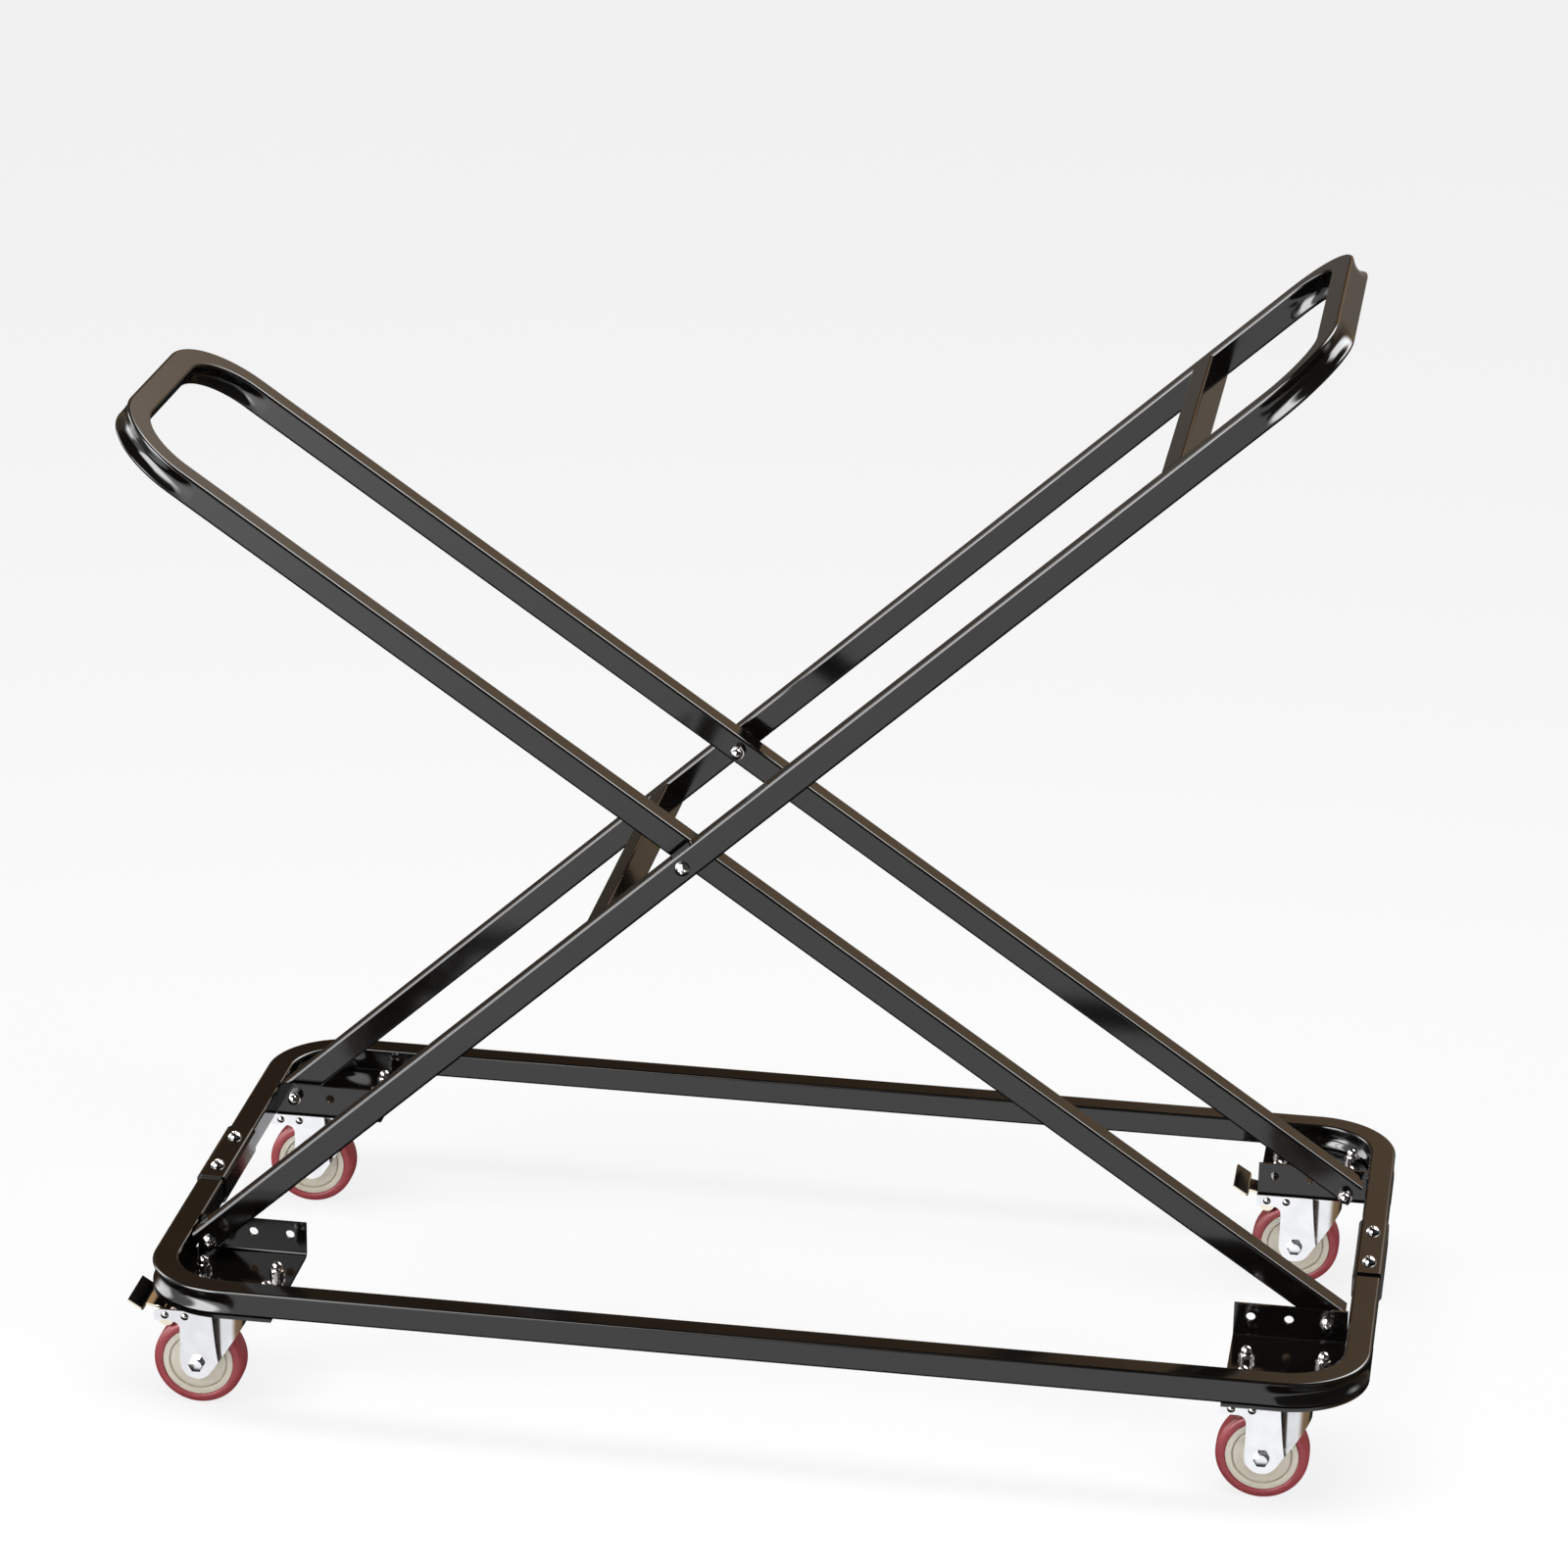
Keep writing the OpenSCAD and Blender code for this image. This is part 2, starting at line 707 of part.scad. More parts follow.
// Bore across the fork at a place given as distance behind the swivel axis and height
module cross_bore(back, z, d, half_len) {
    translate([-back, half_len, z]) rotate([90, 0, 0]) cylinder(d = d, h = 2 * half_len);
}

module fork(side, end) {
    color(zinc) under_corner(side, end) difference() {
        union() {
            intersection() {
                difference() {
                    fork_block(fork_round_r, fork_out_y, ear_len, 0);
                    fork_block(fork_round_r - fork_wall, fork_in_y, ear_len + overrun, overrun);
                }
                translate([0, crown_r, 0]) rotate([90, 0, 0]) linear_extrude(2 * crown_r) fork_side();
            }
            translate([0, 0, crown_top - fork_wall]) linear_extrude(fork_wall) {
                circle(crown_r);
                translate([-trail, -fork_out_y]) square([trail, 2 * fork_out_y]);
            }
            race(lower_race_r, crown_top, lower_race_h);
        }
        translate([0, 0, crown_top - fork_wall - overrun])
            cylinder(r = kingpin_d / 2 + run, h = fork_wall + 2 * overrun);
        cross_bore(trail, wheel_r, bolt_d + 2 * run, fork_out_y + overrun);
        for (back = [pin_in_x, pin_out_x])
            cross_bore(back, pin_z, pin_d + 2 * run, fork_out_y + overrun);
    }
}

// Two pins riveted through the ears
module ear_pins(side, end) {
    color(zinc) under_corner(side, end) for (back = [pin_in_x, pin_out_x]) {
        cross_bore(back, pin_z, pin_d, fork_out_y);
        for (face = [-1, 1])
            translate([-back, face * fork_out_y, pin_z]) facing(face)
                cylinder(r = pin_d * rivet_r_share, h = pin_d * rivet_h_share);
    }
}

module axle_bolt(side, end) {
    color(zinc) under_corner(side, end) translate([-trail, -fork_out_y, wheel_r]) facing(-1)
        hex_bolt(2 * fork_out_y + nut_h + overrun);
}

module axle_nut(side, end) {
    color(zinc) under_corner(side, end) translate([-trail, fork_out_y, wheel_r]) facing(1) difference() {
        cylinder(r = hex_r, h = nut_h, $fn = 6);
        translate([0, 0, -overrun]) cylinder(d = bolt_d + 2 * run, h = nut_h + 2 * overrun);
    }
}

// Wheels

// Turns an outline of radius and half width about the axle
module about_axle(side, end) {
    under_corner(side, end) translate([-trail, 0, wheel_r]) rotate([90, 0, 0])
        rotate_extrude() children();
}

module hub(side, end) {
    rim_in_r = hub_r - hub_rim_w;
    groove_in_r = rim_in_r - hub_groove_w;
    bore_r = bolt_d / 2 + run;
    color(cream) about_axle(side, end) difference() {
        union() {
            translate([bore_r, -hub_boss_half_w]) square([hub_boss_r - bore_r, 2 * hub_boss_half_w]);
            translate([bore_r, -hub_web_half_w]) square([hub_r - bore_r, 2 * hub_web_half_w]);
            translate([rim_in_r, -hub_rim_half_w]) square([hub_rim_w, 2 * hub_rim_half_w]);
        }
        for (face = [-1, 1])
            translate([groove_in_r, face * hub_web_half_w - hub_groove_depth])
                square([hub_groove_w, 2 * hub_groove_depth]);
    }
}

// Moulded tread with rounded shoulders
module tyre(side, end) {
    shoulder_y = wheel_w / 2 - tyre_shoulder_r;
    color(maroon) about_axle(side, end) intersection() {
        union() {
            translate([hub_r, -wheel_w / 2]) square([wheel_r - tyre_shoulder_r - hub_r, wheel_w]);
            translate([hub_r, -shoulder_y]) square([wheel_r - hub_r, 2 * shoulder_y]);
            for (y = [-1, 1])
                translate([wheel_r - tyre_shoulder_r, y * shoulder_y]) circle(tyre_shoulder_r);
        }
        translate([hub_r, -wheel_w]) square([wheel_r, 2 * wheel_w]);
    }
}

// Brakes

// Side of the pedal, from its pin outwards along its neck: the sheet bends up at the pad, and a
// knuckle round the pin and a cam under it hang from the neck's root
module pedal_side() {
    low = pin_d / 2;
    middle = [pedal_neck_len, low + pedal_t + pedal_bend_r];
    turn = pad_slope - neck_slope;
    out = pedal_pad_len * [cos(turn), sin(turn)];
    under = [
        for (i = [0 : pedal_bend_steps]) let (a = i * turn / pedal_bend_steps)
            middle + (pedal_bend_r + pedal_t) * [sin(a), -cos(a)]
    ];
    over = [
        for (i = [pedal_bend_steps : -1 : 0]) let (a = i * turn / pedal_bend_steps)
            middle + pedal_bend_r * [sin(a), -cos(a)]
    ];
    last = under[pedal_bend_steps];
    polygon(concat([[0, low]], under, [last + out, over[0] + out], over, [[0, low + pedal_t]]));
    circle(knuckle_r);
    rotate(-neck_slope) translate([0, -cam_throw]) circle(cam_r);
}

// Pedal from above: a neck that fits between the ears, and a wide pad with rounded corners
module pedal_plan() {
    tip = pedal_neck_len + pedal_pad_len + overrun;
    pad_half = pedal_w / 2 - pedal_corner_r;
    translate([-cam_r - overrun, -pedal_neck_w / 2])
        square([tip + cam_r, pedal_neck_w]);
    translate([pedal_neck_len, -pad_half]) square([tip - pedal_neck_len, 2 * pad_half]);
    translate([pedal_neck_len + pedal_corner_r, -pedal_w / 2])
        square([tip - pedal_neck_len - pedal_corner_r, pedal_w]);
    for (y = [-1, 1])
        translate([pedal_neck_len + pedal_corner_r, y * pad_half]) circle(pedal_corner_r);
}

// Sheet lever on the outer ear pin
module brake_pedal(side, end) {
    reach = pedal_neck_len + pedal_pad_len;
    color(zinc) under_corner(side, end) translate([-pin_out_x, 0, pin_z])
        rotate([0, neck_slope, 0]) mirror([1, 0, 0]) difference() {
            intersection() {
                translate([0, pedal_w / 2 + overrun, 0]) rotate([90, 0, 0])
                    linear_extrude(pedal_w + 2 * overrun) pedal_side();
                translate([0, 0, -reach]) linear_extrude(2 * reach) pedal_plan();
            }
            translate([0, pedal_w / 2, 0]) rotate([90, 0, 0])
                cylinder(r = pin_d / 2 + run, h = pedal_w);
        }
}

base_half(-1);  // base_front_tube
base_half(1);  // base_rear_tube
splice_sleeve(-1);  // splice_sleeve_left
splice_sleeve(1);  // splice_sleeve_right
splice_screws();
outer_arm();
inner_arm();
rung(lower_rung_s);  // lower_rung
rung(upper_rung_s);  // upper_rung
pivot_bolts();
pivot_nuts();
pivot_spacers();
foot_bolts();
foot_nuts();
foot_spacers();
caster_bolts();
caster_nuts();
kingpins();
swivel_balls();
for (corner = corners) {
    bracket(corner[1], corner[2]);
    caster_plate(corner[1], corner[2]);
    fork(corner[1], corner[2]);
    ear_pins(corner[1], corner[2]);
    axle_bolt(corner[1], corner[2]);
    axle_nut(corner[1], corner[2]);
    hub(corner[1], corner[2]);
    tyre(corner[1], corner[2]);
}
for (corner = braked)
    brake_pedal(corner[1], corner[2]);
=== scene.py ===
"""Stacking chair trolley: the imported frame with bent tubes, wheels, fasteners and finishes."""

import math

import bmesh
import bpy
import numpy as np
from mathutils import Euler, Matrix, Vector


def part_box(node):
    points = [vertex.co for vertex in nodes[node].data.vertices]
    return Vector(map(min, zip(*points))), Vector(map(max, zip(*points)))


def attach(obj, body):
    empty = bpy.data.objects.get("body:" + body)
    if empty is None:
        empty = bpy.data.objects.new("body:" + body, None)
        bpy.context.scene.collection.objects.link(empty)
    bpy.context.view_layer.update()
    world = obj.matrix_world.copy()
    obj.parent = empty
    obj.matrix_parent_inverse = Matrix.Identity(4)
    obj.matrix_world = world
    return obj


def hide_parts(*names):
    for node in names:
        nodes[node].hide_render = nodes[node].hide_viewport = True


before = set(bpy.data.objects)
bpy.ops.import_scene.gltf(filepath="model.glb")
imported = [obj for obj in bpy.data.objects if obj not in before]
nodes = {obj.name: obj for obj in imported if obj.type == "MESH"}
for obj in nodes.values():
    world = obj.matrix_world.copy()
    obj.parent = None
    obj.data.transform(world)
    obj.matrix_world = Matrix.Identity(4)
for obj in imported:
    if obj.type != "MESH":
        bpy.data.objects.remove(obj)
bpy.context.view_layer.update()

# Sizes, in millimetres as the part's own, and the scale that turns them into metres
MM = 0.001
TUBE, TUBE_WALL, TUBE_EDGE = 25.0, 1.5, 2.5
BASE_LEN, BASE_W, BASE_BEND = 1160.0, 607.0, 80.0
BASE_MID_Z = 138.5
SPLICE_GAP = 1.0
OUTER_LEN, INNER_LEN, HANDLE_BEND = 1403.0, 1413.0, 82.0
OUTER_HALF_W, INNER_HALF_W = 190.0, 153.5
# From the outer arm's foot bolt to the crossing
OUTER_REACH = 621.0
FOOT_X, FOOT_Z, FOOT_DROP, FOOT_TAIL = 535.5, 146.0, 3.5, 9.0
OUTER_ANGLE, INNER_ANGLE = math.radians(42.41889), math.radians(34.15779)
CREASE_DEPTH, DENT_DEPTH = 6.2, 5.4
CASTER_X, CASTER_Y, TRAIL = 510.0, 231.0, 25.0
WHEEL_R = 44.0
PIN_BACK, PIN_Z = 55.5, 92.75
# The pad's slope, and the middle of its sheet where its bend ends, from the pedal's pin
PAD_SLOPE, PAD_ROOT = math.radians(32), (-20.05, 8.87)
CORNERS = {
    "front_left": (-1, -1),
    "front_right": (1, -1),
    "rear_left": (-1, 1),
    "rear_right": (1, 1),
}
base_low, base_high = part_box("base_front_tube")
BASE_X = (base_low.x + base_high.x) / 2 / MM


# Materials


class Wire:
    """One socket of a material's node tree. Arithmetic on wires and numbers adds Math nodes, and
    make() adds any other node."""

    def __init__(self, tree, socket=None):
        self.tree, self.socket = tree, socket

    def make(self, kind, settings=None, sockets=None, out=0):
        """A node of that kind: first its settings, then the values or wires of its sockets."""
        node = self.tree.nodes.new(kind)
        for name, value in (settings or {}).items():
            if name == "stops":
                ramp = node.color_ramp.elements
                ramp.remove(ramp[1])
                ramp[0].position, ramp[0].color = value[0]
                for place, colour in value[1:]:
                    ramp.new(place).color = colour
            else:
                setattr(node, name, value)
        for name, value in (sockets or {}).items():
            if isinstance(value, Wire):
                self.tree.links.new(value.socket, node.inputs[name])
            else:
                node.inputs[name].default_value = value
        return Wire(self.tree, node.outputs[out])

    def math(self, operation, first, second):
        return self.make("ShaderNodeMath", {"operation": operation}, {0: first, 1: second})

    def __add__(self, other):
        return self.math("ADD", self, other)

    def __sub__(self, other):
        return self.math("SUBTRACT", self, other)

    def __rsub__(self, other):
        return self.math("SUBTRACT", other, self)

    def __mul__(self, other):
        return self.math("MULTIPLY", self, other)

    def __truediv__(self, other):
        return self.math("DIVIDE", self, other)

    __radd__ = __add__
    __rmul__ = __mul__

    def ray(self, kind):
        """1 for rays of that kind and 0 for others."""
        return self.make("ShaderNodeLightPath", {}, {}, out=kind)

    def split(self):
        """The three parts of these coordinates."""
        parts = self.make("ShaderNodeSeparateXYZ", {}, {0: self})
        return [Wire(self.tree, socket) for socket in parts.socket.node.outputs]

    def noise(self, scale, detail=2.0, roughness=0.5):
        """Noise of that many cells to the metre over these coordinates."""
        return self.make(
            "ShaderNodeTexNoise",
            {},
            {"Vector": self, "Scale": scale, "Detail": detail, "Roughness": roughness},
        )

    def stretched(self, x, y, z):
        """These coordinates scaled along each axis."""
        return self.make("ShaderNodeMapping", {}, {"Vector": self, "Scale": (x, y, z)})

    def step(self, low, high):
        """A smooth rise from 0 at low to 1 at high."""
        return self.make(
            "ShaderNodeMapRange",
            {"interpolation_type": "SMOOTHSTEP"},
            {"Value": self, "From Min": low, "From Max": high},
        )

    def blend(self, colour_a, colour_b):
        """Colour a where this is 0 and colour b where it is 1."""
        return self.make(
            "ShaderNodeMix",
            {"data_type": "RGBA"},
            {0: self, 6: colour_a, 7: colour_b},
            out=2,
        )

    def bump(self, strength, distance):
        """A surface normal from this height, in steps of that distance in metres."""
        return self.make(
            "ShaderNodeBump", {}, {"Height": self, "Strength": strength, "Distance": distance}
        )


class Finish:
    """A material with one Principled shader, its fixed values and its Object coordinates."""

    def __init__(self, name, **fixed):
        self.material = bpy.data.materials.new(name)
        self.material.use_nodes = True
        tree = self.material.node_tree
        self.shader = tree.nodes["Principled BSDF"]
        for socket, value in fixed.items():
            self.shader.inputs[socket.replace("_", " ")].default_value = value
        self.at = Wire(tree).make("ShaderNodeTexCoord", {}, {}, out="Object")

    def feed(self, **wires):
        """Links wires to the shader's sockets and returns the material."""
        for socket, wire in wires.items():
            wire.tree.links.new(wire.socket, self.shader.inputs[socket.replace("_", " ")])
        return self.material


def rgb(red, green, blue):
    return (red, green, blue, 1.0)


def powder_coat():
    """Glossy black powder: a faint grain and cloudy gloss."""
    coat = Finish("black_powder_coat", IOR=1.6)
    grain = coat.at.noise(1500, 2.0, 0.6)
    cloud = coat.at.noise(9, 3.0)
    tone = cloud.step(0.3, 0.7).blend(rgb(0.0024, 0.002, 0.0017), rgb(0.0042, 0.0036, 0.003))
    gloss = 0.07 + cloud * 0.03 + grain * 0.03
    return coat.feed(Base_Color=tone, Roughness=gloss, Normal=grain.bump(0.015, 0.0002))


def bright_zinc():
    """Plated sheet steel: faint drawn lines along the sheet and a cloudy bloom."""
    zinc = Finish("bright_zinc", Metallic=1.0)
    lines = zinc.at.stretched(60, 60, 2400).noise(1.0, 2.0)
    cloud = zinc.at.noise(55, 3.0)
    tone = cloud.step(0.35, 0.7).blend(rgb(0.89, 0.9, 0.92), rgb(0.83, 0.84, 0.86))
    gloss = 0.1 + cloud * 0.06 + lines * 0.05
    return zinc.feed(Base_Color=tone, Roughness=gloss, Normal=lines.bump(0.04, 0.0001))


def chrome():
    """Bright plated fasteners, with a trace of handling on the gloss."""
    plate = Finish("chrome_plate", Metallic=1.0)
    cloud = plate.at.noise(180, 3.0)
    tone = cloud.step(0.35, 0.75).blend(rgb(0.62, 0.6, 0.59), rgb(0.52, 0.5, 0.49))
    return plate.feed(Base_Color=tone, Roughness=0.02 + cloud * 0.04)


def maroon_tread():
    """Moulded polyurethane: even maroon with a little bloom and a matt skin."""
    tread = Finish("maroon_tread", IOR=1.48)
    cloud = tread.at.noise(70, 4.0)
    skin = tread.at.noise(1500, 2.0)
    tone = cloud.step(0.25, 0.75).blend(rgb(0.335, 0.05, 0.058), rgb(0.27, 0.038, 0.046))
    gloss = 0.3 + cloud * 0.12
    return tread.feed(Base_Color=tone, Roughness=gloss, Normal=skin.bump(0.1, 0.0002))


def cream_hub():
    """Injection moulded hub: cream plastic with faint flow marks."""
    hub = Finish("cream_hub", IOR=1.49)
    flow = hub.at.stretched(30, 90, 30).noise(1.0, 3.0)
    skin = hub.at.noise(1200, 2.0)
    tone = flow.step(0.3, 0.75).blend(rgb(0.69, 0.645, 0.55), rgb(0.61, 0.565, 0.47))
    return hub.feed(Base_Color=tone, Roughness=0.36 + flow * 0.12, Normal=skin.bump(0.08, 0.0002))


def black_nylon():
    """Turned nylon spacers."""
    nylon = Finish("black_nylon", IOR=1.53)
    skin = nylon.at.noise(800, 2.0)
    tone = skin.step(0.3, 0.8).blend(rgb(0.012, 0.012, 0.012), rgb(0.022, 0.022, 0.022))
    return nylon.feed(Base_Color=tone, Roughness=0.42 + skin * 0.12)


def pedal_finish(name, pin_x, pin_z):
    """Plated sheet whose pad is black on top: the black lies above the middle of the pad's sheet,
    past its bend, measured from the pedal's pin."""
    pedal = Finish(name)
    x, _, z = pedal.at.split()
    back, up = (pin_x + PAD_ROOT[0]) * MM - x, z - (pin_z + PAD_ROOT[1]) * MM
    along = back * math.cos(PAD_SLOPE) + up * math.sin(PAD_SLOPE)
    above = up * math.cos(PAD_SLOPE) - back * math.sin(PAD_SLOPE)
    black = along.step(0.0002, 0.0006) * above.step(0.0003, 0.0007)
    cloud = pedal.at.noise(90, 3.0)
    plate = cloud.step(0.35, 0.7).blend(rgb(0.92, 0.84, 0.68), rgb(0.84, 0.75, 0.58))
    tone = black.blend(plate, rgb(0.003, 0.003, 0.003))
    gloss = 0.1 + cloud * 0.06
    return pedal.feed(Base_Color=tone, Metallic=1 - black, Roughness=gloss)


COAT, ZINC, CHROME = powder_coat(), bright_zinc(), chrome()
TREAD, HUB, NYLON = maroon_tread(), cream_hub(), black_nylon()


# Surfaces


def grid_faces(rows, cols, start=0, wrap_rows=False, wrap_cols=False):
    """Corner numbers of the faces between neighbouring points of a grid, numbered from start."""
    grid = start + np.arange(rows * cols).reshape(rows, cols)
    if wrap_rows:
        grid = np.vstack([grid, grid[:1]])
    if wrap_cols:
        grid = np.hstack([grid, grid[:, :1]])
    ring = [grid[:-1, :-1], grid[1:, :-1], grid[1:, 1:], grid[:-1, 1:]]
    return np.stack(ring, -1).reshape(-1, 4)


def add_piece(name, points, faces, material, body, slot, *replaced, crease=32):
    """A mesh from points in millimetres and faces, dressed, riding on a body."""
    mesh = bpy.data.meshes.new(name)
    mesh.from_pydata((np.asarray(points).reshape(-1, 3) * MM).tolist(), [], faces.tolist())
    shape = bmesh.new()
    shape.from_mesh(mesh)
    bmesh.ops.remove_doubles(shape, verts=shape.verts, dist=2e-6)
    shape.to_mesh(mesh)
    shape.free()
    mesh.shade_smooth()
    mesh.set_sharp_from_angle(angle=math.radians(crease))
    mesh.materials.append(material)
    piece = bpy.data.objects.new(name, mesh)
    bpy.context.scene.collection.objects.link(piece)
    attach(piece, body)
    if replaced:
        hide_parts(*replaced)
    return piece


def rise(distance, length):
    """Smooth step: 0 below zero, 1 past length, 3x^2 - 2x^3 between."""
    share = np.clip(distance / length, 0, 1)
    return share * share * (3 - 2 * share)


# Bent tubes

FLAT_STEPS, EDGE_STEPS, BEND_STEPS = 31, 5, 44
CREASE_RUNOUT, CREASE_RAMP, CREASE_POWER = 20.0, 50.0, 1.4


def square_walk(size, edge):
    """Points round a square with rounded corners, and how far the crease and the dent move each. A
    side crosses its flat in sine steps, then a quarter circle turns the corner. The hollow is one
    less the square of the share across the flat, to a power."""
    flat = size / 2 - edge
    across = flat * np.sin(np.linspace(-np.pi / 2, np.pi / 2, FLAT_STEPS))
    turn = np.linspace(0, np.pi / 2, EDGE_STEPS + 2)[1:-1]
    side = np.vstack(
        [
            np.c_[np.full(FLAT_STEPS, size / 2), across],
            np.c_[flat + edge * np.cos(turn), flat + edge * np.sin(turn)],
        ]
    )
    quarter = np.array([[0, 1], [-1, 0]])
    walk = np.vstack([side @ np.linalg.matrix_power(quarter, k) for k in range(4)])
    hollow = np.zeros((4, len(side)))
    hollow[:, :FLAT_STEPS] = (1 - (across / flat) ** 2) ** CREASE_POWER
    press = np.zeros(hollow.shape)
    press[0] = -CREASE_DEPTH * hollow[0]
    press[2] = DENT_DEPTH * hollow[2]
    return walk, press.ravel()


def u_path(half_w, reach, start, bend_r):
    """Stations along a U: leg, bend, cross bar, bend and leg, as places, outward directions and the
    share of the crease. The heading turns evenly in the bends; the crease rises through each."""
    leg, bar = reach - bend_r - start, 2 * (half_w - bend_r)
    mid_r = bend_r - TUBE / 2
    arc = mid_r * np.pi / 2
    knots = np.cumsum([0, leg, arc, bar, arc, leg])
    near = CREASE_RUNOUT * 2
    s = np.unique(
        np.concatenate(
            [
                np.linspace(0, knots[1] - near, 6),
                np.linspace(knots[1] - near, knots[1], 12),
                np.linspace(knots[1], knots[2], BEND_STEPS),
                np.linspace(knots[2], knots[2] + near, 12),
                np.linspace(knots[2] + near, knots[3] - near, 6),
                np.linspace(knots[3] - near, knots[3], 12),
                np.linspace(knots[3], knots[4], BEND_STEPS),
                np.linspace(knots[4], knots[4] + near, 12),
                np.linspace(knots[4] + near, knots[5], 6),
            ]
        ).round(4)
    )
    first, second = (np.clip((s - k) / arc, 0, 1) * np.pi / 2 for k in (knots[1], knots[3]))
    x = start + np.minimum(s, leg) + mid_r * np.sin(first)
    x = x + mid_r * (np.cos(second) - 1) - np.clip(s - knots[4], 0, leg)
    y = TUBE / 2 - half_w + mid_r * (1 - np.cos(first))
    y = y + np.clip(s - knots[2], 0, bar) + mid_r * np.sin(second)
    heading = first + second
    out = np.c_[np.sin(heading), -np.cos(heading)]
    crease = sum(
        rise(s - knots[k] + CREASE_RUNOUT, CREASE_RAMP)
        * rise(knots[k + 1] + CREASE_RUNOUT - s, CREASE_RAMP)
        for k in (1, 3)
    )
    return np.c_[x, y], out, crease


def bent_tube(name, half_w, reach, start, bend_r, place):
    """A hollow U of square tube. A rounded square is carried along the path, its outer flat pressed
    in and its inner flat dented by a hollow times the share of the crease; the bore follows one
    wall in, and rings close both ends. place turns local axes into the part's frame."""
    path, out, crease = u_path(half_w, reach, start, bend_r)
    shells = []
    for size, edge in ((TUBE, TUBE_EDGE), (TUBE - 2 * TUBE_WALL, TUBE_EDGE - TUBE_WALL)):
        walk, press = square_walk(size, edge)
        side = walk[:, 0] + crease[:, None] * press
        flat = path[:, None, :] + side[..., None] * out[:, None, :]
        up = np.broadcast_to(walk[:, 1], side.shape)
        shells.append(np.dstack([flat, up]))
    rows, cols = shells[0].shape[:2]
    count = rows * cols
    outer = grid_faces(rows, cols, 0, wrap_cols=True)
    inner = grid_faces(rows, cols, count, wrap_cols=True)[:, ::-1]
    ring = np.arange(cols)
    following = np.roll(ring, -1)
    start_ring = np.c_[count + ring, ring, following, count + following]
    end_ring = (start_ring + (rows - 1) * cols)[:, ::-1]
    faces = np.vstack([outer, inner, start_ring, end_ring])
    points = np.vstack([shell.reshape(-1, 3) for shell in shells])
    turn, origin = place
    if np.linalg.det(turn) < 0:
        faces = faces[:, ::-1]
    points = points @ turn.T + origin
    return add_piece(name + "_bent", points, faces, COAT, "frame", "black_powder_coat", name)


def base_place(end):
    """Local +X towards the rear or the front, at the height of the base's tubes."""
    return np.array([[0, -end, 0], [end, 0, 0], [0, 0, 1.0]]), np.array([BASE_X, 0, BASE_MID_Z])


def arm_place(side, angle):
    """Local +X up along an arm from its foot bolt, on the left or the right of the base."""
    along = np.array([-side * math.cos(angle), 0, math.sin(angle)])
    above = np.array([side * math.sin(angle), 0, math.cos(angle)])
    turn = np.c_[along, [0, 1, 0], above]
    return turn, np.array([BASE_X + side * FOOT_X, 0, FOOT_Z]) + FOOT_DROP * above


for name, end in (("base_front_tube", -1), ("base_rear_tube", 1)):
    bent_tube(name, BASE_LEN / 2, BASE_W / 2, SPLICE_GAP / 2, BASE_BEND, base_place(end))
for name, half_w, length, side, angle in (
    ("outer_arm", OUTER_HALF_W, OUTER_LEN, -1, OUTER_ANGLE),
    ("inner_arm", INNER_HALF_W, INNER_LEN, 1, INNER_ANGLE),
):
    bent_tube(name, half_w, length, -FOOT_TAIL, HANDLE_BEND, arm_place(side, angle))


# Wheels

LATHE_STEPS = 96


def soften(outline, radius, steps=5):
    """A closed outline whose corners are parabolas: each starts and ends at most radius from the
    corner, or halfway along a shorter side."""
    points = np.asarray(outline, float)
    before, after = np.roll(points, 1, 0) - points, np.roll(points, -1, 0) - points
    lengths = [np.linalg.norm(v, axis=1, keepdims=True) for v in (before, after)]
    first, last = (
        points + v / n * np.minimum(radius, n * 0.45) for v, n in zip((before, after), lengths)
    )
    t = np.linspace(0, 1, steps)[None, :, None]
    curve = (1 - t) ** 2 * first[:, None] + 2 * t * (1 - t) * points[:, None] + t**2 * last[:, None]
    return curve.reshape(-1, 2)


def lathe(name, outline, centre, material, body, slot, *replaced):
    """A closed outline of radius and width turned about the axle, which lies along Y."""
    turn = np.linspace(0, 2 * np.pi, LATHE_STEPS, endpoint=False)[:, None]
    r, w = outline[:, 0], outline[:, 1]
    points = np.dstack(
        np.broadcast_arrays(r * np.cos(turn), w + 0 * turn, r * np.sin(turn))
    ) + np.asarray(centre)
    faces = grid_faces(LATHE_STEPS, len(outline), wrap_rows=True, wrap_cols=True)
    return add_piece(name, points, faces, material, body, slot, *replaced)


HUB_FACE = [
    (4.05, 14.7),
    (16.4, 14.7),
    (18.0, 13.2),
    (18.4, 11.2),
    (26.9, 11.6),
    (27.2, 9.4),
    (28.4, 9.4),
    (28.8, 12.8),
    (34.1, 12.8),
    (34.5, 12.3),
]
TYRE_FACE = [
    (34.5, 12.4),
    (35.1, 13.9),
    (38.8, 14.0),
    (42.2, 13.0),
    (43.8, 9.4),
    (44.0, 3.0),
]


def both_faces(face):
    """The outline of one face, continued by its mirror image."""
    face = np.array(face)
    return np.vstack([face, face[::-1] * (1, -1)])


HUB_OUTLINE = soften(both_faces(HUB_FACE), 0.7)
TYRE_OUTLINE = soften(both_faces(TYRE_FACE), 2.2, 6)
for corner, (side, end) in CORNERS.items():
    axle = (BASE_X + side * CASTER_X - TRAIL, end * CASTER_Y, WHEEL_R)
    body = "wheel_" + corner
    lathe("hub_moulded_" + corner, HUB_OUTLINE, axle, HUB, body, "cream_hub", "hub_" + corner)
    lathe("tread_" + corner, TYRE_OUTLINE, axle, TREAD, body, "maroon_tread", "tyre_" + corner)


# Fasteners

